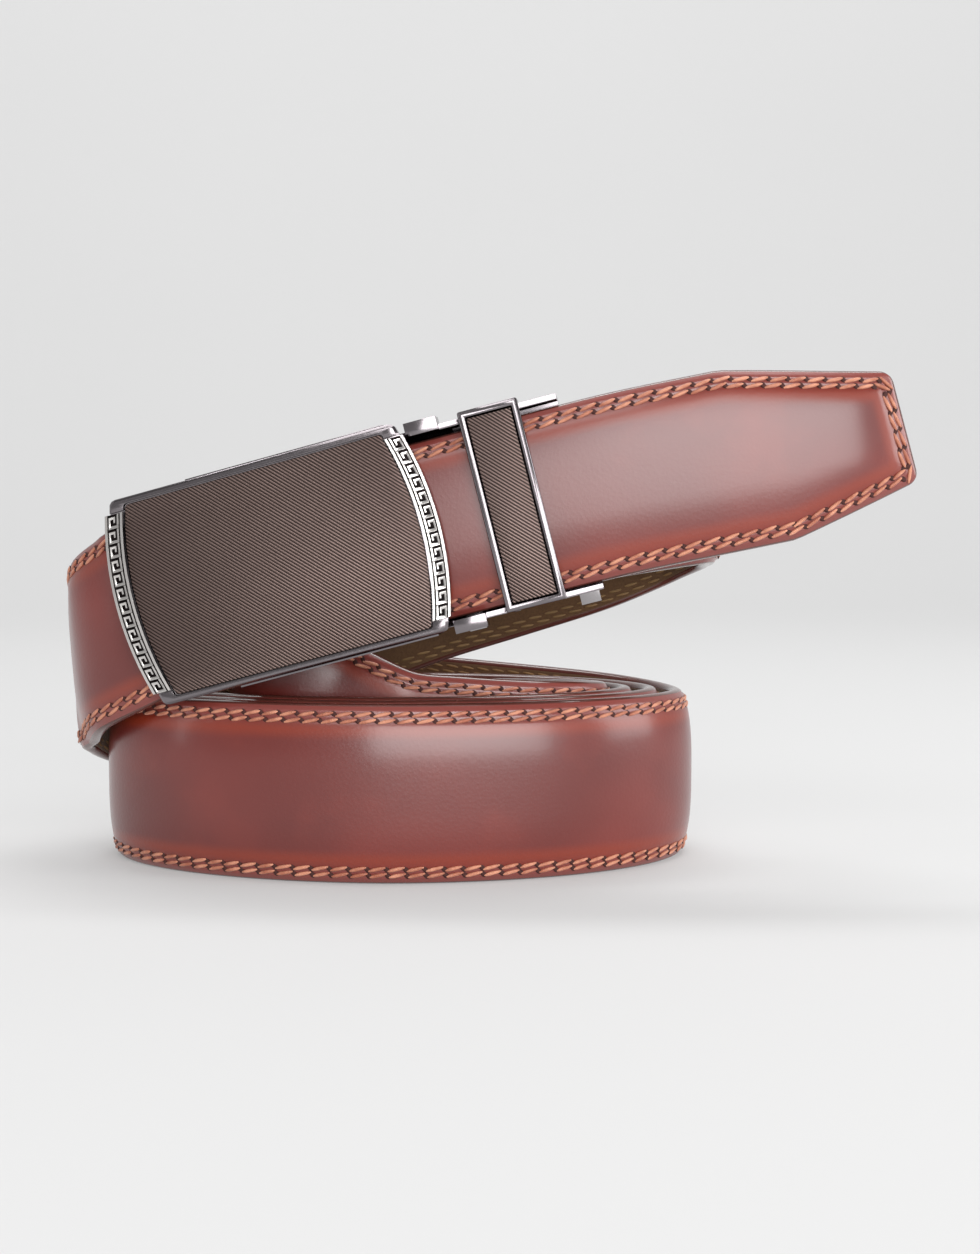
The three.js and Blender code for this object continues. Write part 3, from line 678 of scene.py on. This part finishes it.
def half_section(s, left, side, pad, end_round):
    """One side of the strap's section: the rounded edge, the grooved rim and half the dome."""
    half = half_at(left, side)
    scale = (half - dome_start) / (half_width - dome_start)
    profile = []
    for k in range(edge_steps + 1):
        turn = -math.pi / 2 + k * math.pi / edge_steps
        middle = (rim_leather + leather_back) / 2
        tall = (rim_leather - leather_back) / 2 - end_round * end_rounding
        profile.append((edge_bulge * (1 - math.cos(turn)), middle + tall * math.sin(turn)))
    for inset in section_insets:
        real = inset if inset <= dome_start else dome_start + (inset - dome_start) * scale
        depth = groove(edge_distance(left, side * (half - real)))
        profile.append((real, outer_height(inset, pad) - depth - end_round * end_rounding))
    points = []
    for inset, height in profile:
        rim = edge_distance(left, side * (half - inset)) if height > 0 else 0
        points.append(section_point(s, left, side, inset, height, rim))
    return points


def strap_sections():
    """Rounded painted edges, a narrow rim with two stitch grooves, and the padded dome."""
    rows = []
    for s in station_lengths():
        _, _, _, _, pad, left = station(s)
        spare = edge_bulge - min(left, edge_bulge)
        end_round = edge_bulge - math.sqrt(max(0, edge_bulge ** 2 - spare ** 2))
        lower, upper = (half_section(s, left, side, pad, end_round) for side in (-1, 1))
        crown_height = outer_height(half_width, pad) - end_round * end_rounding
        x, y, z = on_strap(s, 1, half_at(left, 1), crown_height)
        crown = (x, y, z, s, 0, crown_height, edge_distance(left, 0))
        back = []
        for side, inset in ((1, 6.0), (1, half_width), (-1, 6.0)):
            real = min(inset, half_at(left, side))
            back.append(section_point(s, left, side, real, back_middle, 0))
        rows.append([*lower, crown, *upper[::-1], *back])
    return rows


def build_strap():
    """The leather, with paint on its edges and on the end of its tip."""
    piece = tube_of_sections("strap_body", strap_sections())
    piece.data.materials.append(leather_finish())
    piece.data.materials.append(edge_finish())
    run = np.zeros(len(piece.data.vertices) * 3, dtype=np.float32)
    piece.data.attributes["run"].data.foreach_get("vector", run)
    height = run.reshape(-1, 3)[:, 2] / MM
    left = strap_length - run.reshape(-1, 3)[:, 0] / MM
    for polygon in piece.data.polygons:
        ids = list(polygon.vertices)
        low = height[ids].mean() < rim_leather - paint_line and len(ids) < 6
        polygon.material_index = 1 if low or left[ids].max() < painted_tip else 0
        polygon.use_smooth = True
    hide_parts("strap")
    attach(piece, "belt")


def build_lining():
    """The thin inner skin, a little in from the painted edges."""
    rows = []
    for s in station_lengths():
        left = strap_length - s
        if left < lining_end:
            continue
        section = []
        for side, inset, height in lining_section:
            real = min(inset, half_at(left, side))
            section.append(section_point(s, left, side, real, height, min(real, left)))
        rows.append(section)
    piece = tube_of_sections("lining_skin", rows)
    piece.data.materials.append(lining_finish())
    only(piece)
    bpy.ops.object.shade_smooth_by_angle(angle=math.radians(50))
    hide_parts("strap_lining")
    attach(piece, "belt")


# ---- stitches ----
def row_path(inset, height_of):
    """One stitch row: along the lower edge, round the tip at an even inset, back along the upper."""
    turn = np.gradient(outline, axis=0)
    turn /= np.linalg.norm(turn, axis=1)[:, None]
    inward = np.column_stack((turn[:, 1], -turn[:, 0])) * inset
    middle = len(outline) // 2
    inner = outline + inward if inward[middle, 0] >= 0 else outline - inward
    kept = [p for p in inner if np.sqrt(((outline - p) ** 2).sum(axis=1).min()) > inset - 0.05]
    lower = np.arange(strap_length - row_start, outline_start, -row_step)
    upper = np.arange(outline_start + row_step / 2, strap_length - row_start, row_step)
    flat = [(left, inset - half_width) for left in lower]
    flat += kept
    flat += [(left, half_width - inset) for left in upper]
    path = []
    for shifted, across in flat:
        left = shifted
        for _ in range(4):
            left = shifted + skew_at(left, across)
        place, t, w, n, pad, _ = station(strap_length - left)
        half = half_at(left, across)
        real = max(0.0, half - abs(across))
        if real > dome_start:
            real = dome_start + (real - dome_start) * (half_width - dome_start) / (half - dome_start)
        point = place + w * across + n * height_of(real, pad) + t * skew_at(left, across) + stand
        path.append((*point, *n))
    return np.array(path)


def stitch_places(path, pitch, offset):
    """Middle, direction and outward normal of each stitch along a path."""
    steps = np.linalg.norm(np.diff(path[:, :3], axis=0), axis=1)
    walked = np.concatenate(([0], np.cumsum(steps)))
    places = []
    for at in np.arange(pitch * (0.5 + offset), walked[-1], pitch):
        here = np.array([np.interp(at, walked, path[:, k]) for k in range(6)])
        back = np.array([np.interp(at - 1, walked, path[:, k]) for k in range(3)])
        ahead = np.array([np.interp(at + 1, walked, path[:, k]) for k in range(3)])
        t = (ahead - back) / np.linalg.norm(ahead - back)
        n = here[3:] - t * np.dot(here[3:], t)
        places.append((here[:3], t, n / np.linalg.norm(n)))
    return places


def one_stitch():
    """One plump stitch: a spindle that is fuller towards its ends than a ball is."""
    bpy.ops.object.select_all(action="DESELECT")
    lying = (0, math.pi / 2, 0)
    bpy.ops.mesh.primitive_uv_sphere_add(segments=6, ring_count=5, radius=1.0, rotation=lying)
    piece = bpy.context.object
    bpy.ops.object.transform_apply(location=True, rotation=True, scale=True)
    points = np.array([v.co[:] for v in piece.data.vertices])
    faces = [tuple(p.vertices) for p in piece.data.polygons]
    bpy.data.objects.remove(piece)
    blunt = np.sign(points[:, 0]) * np.abs(points[:, 0]) ** 0.8
    return np.column_stack((blunt, points[:, 1], points[:, 2])), faces


def copies(name, points, faces, places, size, slant, lift, finish):
    """Many copies of a small shape in one mesh. slant turns each about its own normal."""
    parts = []
    all_faces = []
    for k, (middle, t, n) in enumerate(places):
        side = np.cross(n, t)
        x = t * math.cos(slant) + side * math.sin(slant)
        y = np.cross(n, x)
        local = points * np.array(size)
        parts.append(middle + n * lift + local[:, :1] * x + local[:, 1:2] * y + local[:, 2:3] * n)
        base = k * len(points)
        all_faces.extend(tuple(base + i for i in face) for face in faces)
    mesh = bpy.data.meshes.new(name)
    mesh.from_pydata((np.concatenate(parts) * MM).tolist(), [], all_faces)
    mesh.update()
    for polygon in mesh.polygons:
        polygon.use_smooth = True
    mesh.materials.append(finish)
    piece = bpy.data.objects.new(name, mesh)
    bpy.context.collection.objects.link(piece)
    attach(piece, "belt")
    return piece


def build_stitches():
    """Two rows of thread with their holes on the face as dark marks of painted shade, and the same rows
    on the lining.
    """
    points, faces = one_stitch()
    face_places = []
    hole_places = []
    back_places = []
    for k, inset in enumerate(stitch_rows):
        path = row_path(inset, lambda real, pad: outer_height(real, pad) - row_seat)
        face_places += stitch_places(path, stitch_pitch, 0.5 * k)
        hole_places += stitch_places(path, stitch_pitch, 0.5 * k - 0.5)
        path = row_path(inset, lambda real, pad: -lining_back)
        path[:, 3:] *= -1
        back_places += stitch_places(path, stitch_pitch, 0.5 * k)
    seam = copies("face_stitches", points, faces, face_places, stitch_size, stitch_slant, stitch_lift,
                  thread_finish())
    # The holes are small dark marks whose colour is painted shade inside the pricked holes.
    holes = copies("stitch_hole_shades", points, faces, hole_places, hole_size, hole_slant, hole_lift,
                   hole_shade_finish())
    back = copies("lining_stitches", points, faces, back_places, back_size, back_slant, 0.0,
                  lining_thread_finish())


# ---- metal ----
def softened(node, name, width, finish, slot, body="belt", segments=2):
    """A copy of a metal part with its hard edges rounded, as cast and polished metal has."""
    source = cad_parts[node]
    piece = source.copy()
    piece.data = source.data.copy()
    piece.name = name
    bpy.context.collection.objects.link(piece)
    piece.parent = None
    piece.data.materials.clear()
    piece.data.materials.append(finish)
    only(piece)
    bpy.ops.object.mode_set(mode="EDIT")
    bpy.ops.mesh.select_all(action="SELECT")
    bpy.ops.mesh.remove_doubles(threshold=merge_distance)
    bpy.ops.mesh.dissolve_limited(angle_limit=math.radians(1.5))
    bpy.ops.object.mode_set(mode="OBJECT")
    bevel = piece.modifiers.new("rounding", "BEVEL")
    bevel.width = width * MM
    bevel.segments = segments
    bevel.limit_method = "ANGLE"
    bevel.angle_limit = math.radians(30)
    bpy.ops.object.modifier_apply(modifier="rounding")
    bpy.ops.object.shade_smooth_by_angle(angle=math.radians(40))
    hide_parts(node)
    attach(piece, body)


def build_metal():
    """The buckle, its keeper and its works: each CAD part with rounded edges and its own finish."""
    plate = gunmetal_finish("buckle_gunmetal", srgb(118, 112, 115), srgb(140, 134, 137), 0.1)
    works = gunmetal_finish("works_metal", srgb(150, 146, 148), srgb(176, 172, 172), 0.16)
    cast = (plate, "buckle_gunmetal")
    softened("face_frame", "face_bezel", cast_rounding, *cast, segments=3)
    softened("buckle_frame", "buckle_channel", channel_rounding, *cast, segments=3)
    softened("keeper_frame", "keeper_loop", cast_rounding, *cast, segments=3)
    turned = (works, "works_metal")
    softened("release_lever", "lever_arm", works_rounding, *turned, body="release_lever")
    softened("clamp_jaw", "jaw_plate", works_rounding, *turned, body="clamp_jaw")
    softened("lever_pin", "lever_pin_head", small_rounding, *turned)
    softened("jaw_pin", "jaw_pin_head", small_rounding, *turned)
    lined = lined_finish("insert_metal", math.radians(45))
    softened("face_insert", "face_panel", small_rounding, lined, "insert_metal")
    softened("keeper_insert", "keeper_panel", small_rounding, lined, "insert_metal")
    for node in ("trim_left", "trim_right"):
        places = np.array([v.co[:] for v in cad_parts[node].data.vertices])
        finish = relief_finish(float((places @ out_of_buckle).max()))
        softened(node, node + "_relief", trim_rounding, finish, "trim_metal", segments=1)
    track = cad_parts["ratchet_track"]
    track.data.materials.clear()
    track.data.materials.append(nylon_finish())


# ---- studio ----
bowl_flat = 2.2
bowl_radius = 1.4
bowl_reach = 11.2
bowl_forward = -1.0
air_strength = 0.22
# Soft boxes: name, place, the point that it faces, size, power in watts
soft_boxes = (
    ("front_box", (0.29, -1.05, 0.27), (0.04, 0, 0.09), (1.1, 0.52), 12),
    ("shoulder_box", (-0.25, -0.9, 0.8), (0.0, 0, 0.05), (0.5, 0.35), 2.2),
    ("right_box", (0.8, -0.2, 0.3), (0.03, 0, 0.06), (0.4, 0.5), 3),
    ("left_strip", (-0.8, -0.3, 0.4), (-0.02, 0, 0.05), (0.06, 0.8), 0.5),
    ("top_box", (0.05, 0.15, 1.1), (0, 0, 0), (0.9, 0.6), 5.5),
    ("wall_box", (0, 0.9, 2.6), (0, 2.6, 0.9), (3.0, 0.8), 56),
)


def paper_finish():
    """White studio paper that glows a little, so that no shadow on it is dark."""
    paper = Finish("studio_paper", Roughness=0.9, Specular_IOR_Level=0.0, Emission_Strength=0.24)
    shade = paper.noise(paper.place(), 2.0, 1.0)
    paper.feed(Base_Color=paper.mix(shade, (0.42, 0.42, 0.42), (0.43, 0.43, 0.43)))
    paper.feed(Emission_Color=paper.mix(shade, (0.99, 0.99, 0.99), (1.0, 1.0, 1.0)))
    return paper.material


def build_floor():
    """A flat floor that curves up into a wall on every side."""
    bpy.ops.object.select_all(action="DESELECT")
    bpy.ops.mesh.primitive_grid_add(x_subdivisions=56, y_subdivisions=56, size=1)
    floor = bpy.context.object
    floor.name = "studio_floor"
    for v in floor.data.vertices:
        out = math.hypot(v.co.x, v.co.y)
        run = out * bowl_reach
        bend = max(0.0, run - bowl_flat)
        turn = min(bend / bowl_radius, math.pi / 2)
        rise = bowl_radius * (1 - math.cos(turn)) + max(0.0, bend - bowl_radius * math.pi / 2)
        away = min(run, bowl_flat) + bowl_radius * math.sin(turn)
        share = away / out if out else 0
        v.co = (v.co.x * share, v.co.y * share + bowl_forward, rise)
    floor.data.update()
    for polygon in floor.data.polygons:
        polygon.use_smooth = True
    floor.data.materials.append(paper_finish())


def build_light(name, place, target, size, power):
    data = bpy.data.lights.new(name, "AREA")
    data.shape = "RECTANGLE"
    data.size, data.size_y = size
    data.energy = power
    light = bpy.data.objects.new(name, data)
    bpy.context.collection.objects.link(light)
    light.location = place
    aim = np.array(target) - np.array(place)
    flat = math.hypot(aim[0], aim[1])
    light.rotation_euler = (math.atan2(flat, -aim[2]), 0, math.atan2(aim[1], aim[0]) - math.pi / 2)


def studio():
    """Floor, soft air light, soft boxes and plain colour handling."""
    build_floor()
    world = bpy.data.worlds.new("studio_air")
    bpy.context.scene.world = world
    world.use_nodes = True
    air = world.node_tree.nodes["Background"]
    air.inputs["Color"].default_value = (1, 1, 1, 1)
    air.inputs["Strength"].default_value = air_strength
    for box in soft_boxes:
        build_light(*box)
    bpy.context.scene.view_settings.view_transform = "Standard"


build_strap()
build_lining()
build_stitches()
build_metal()
studio()
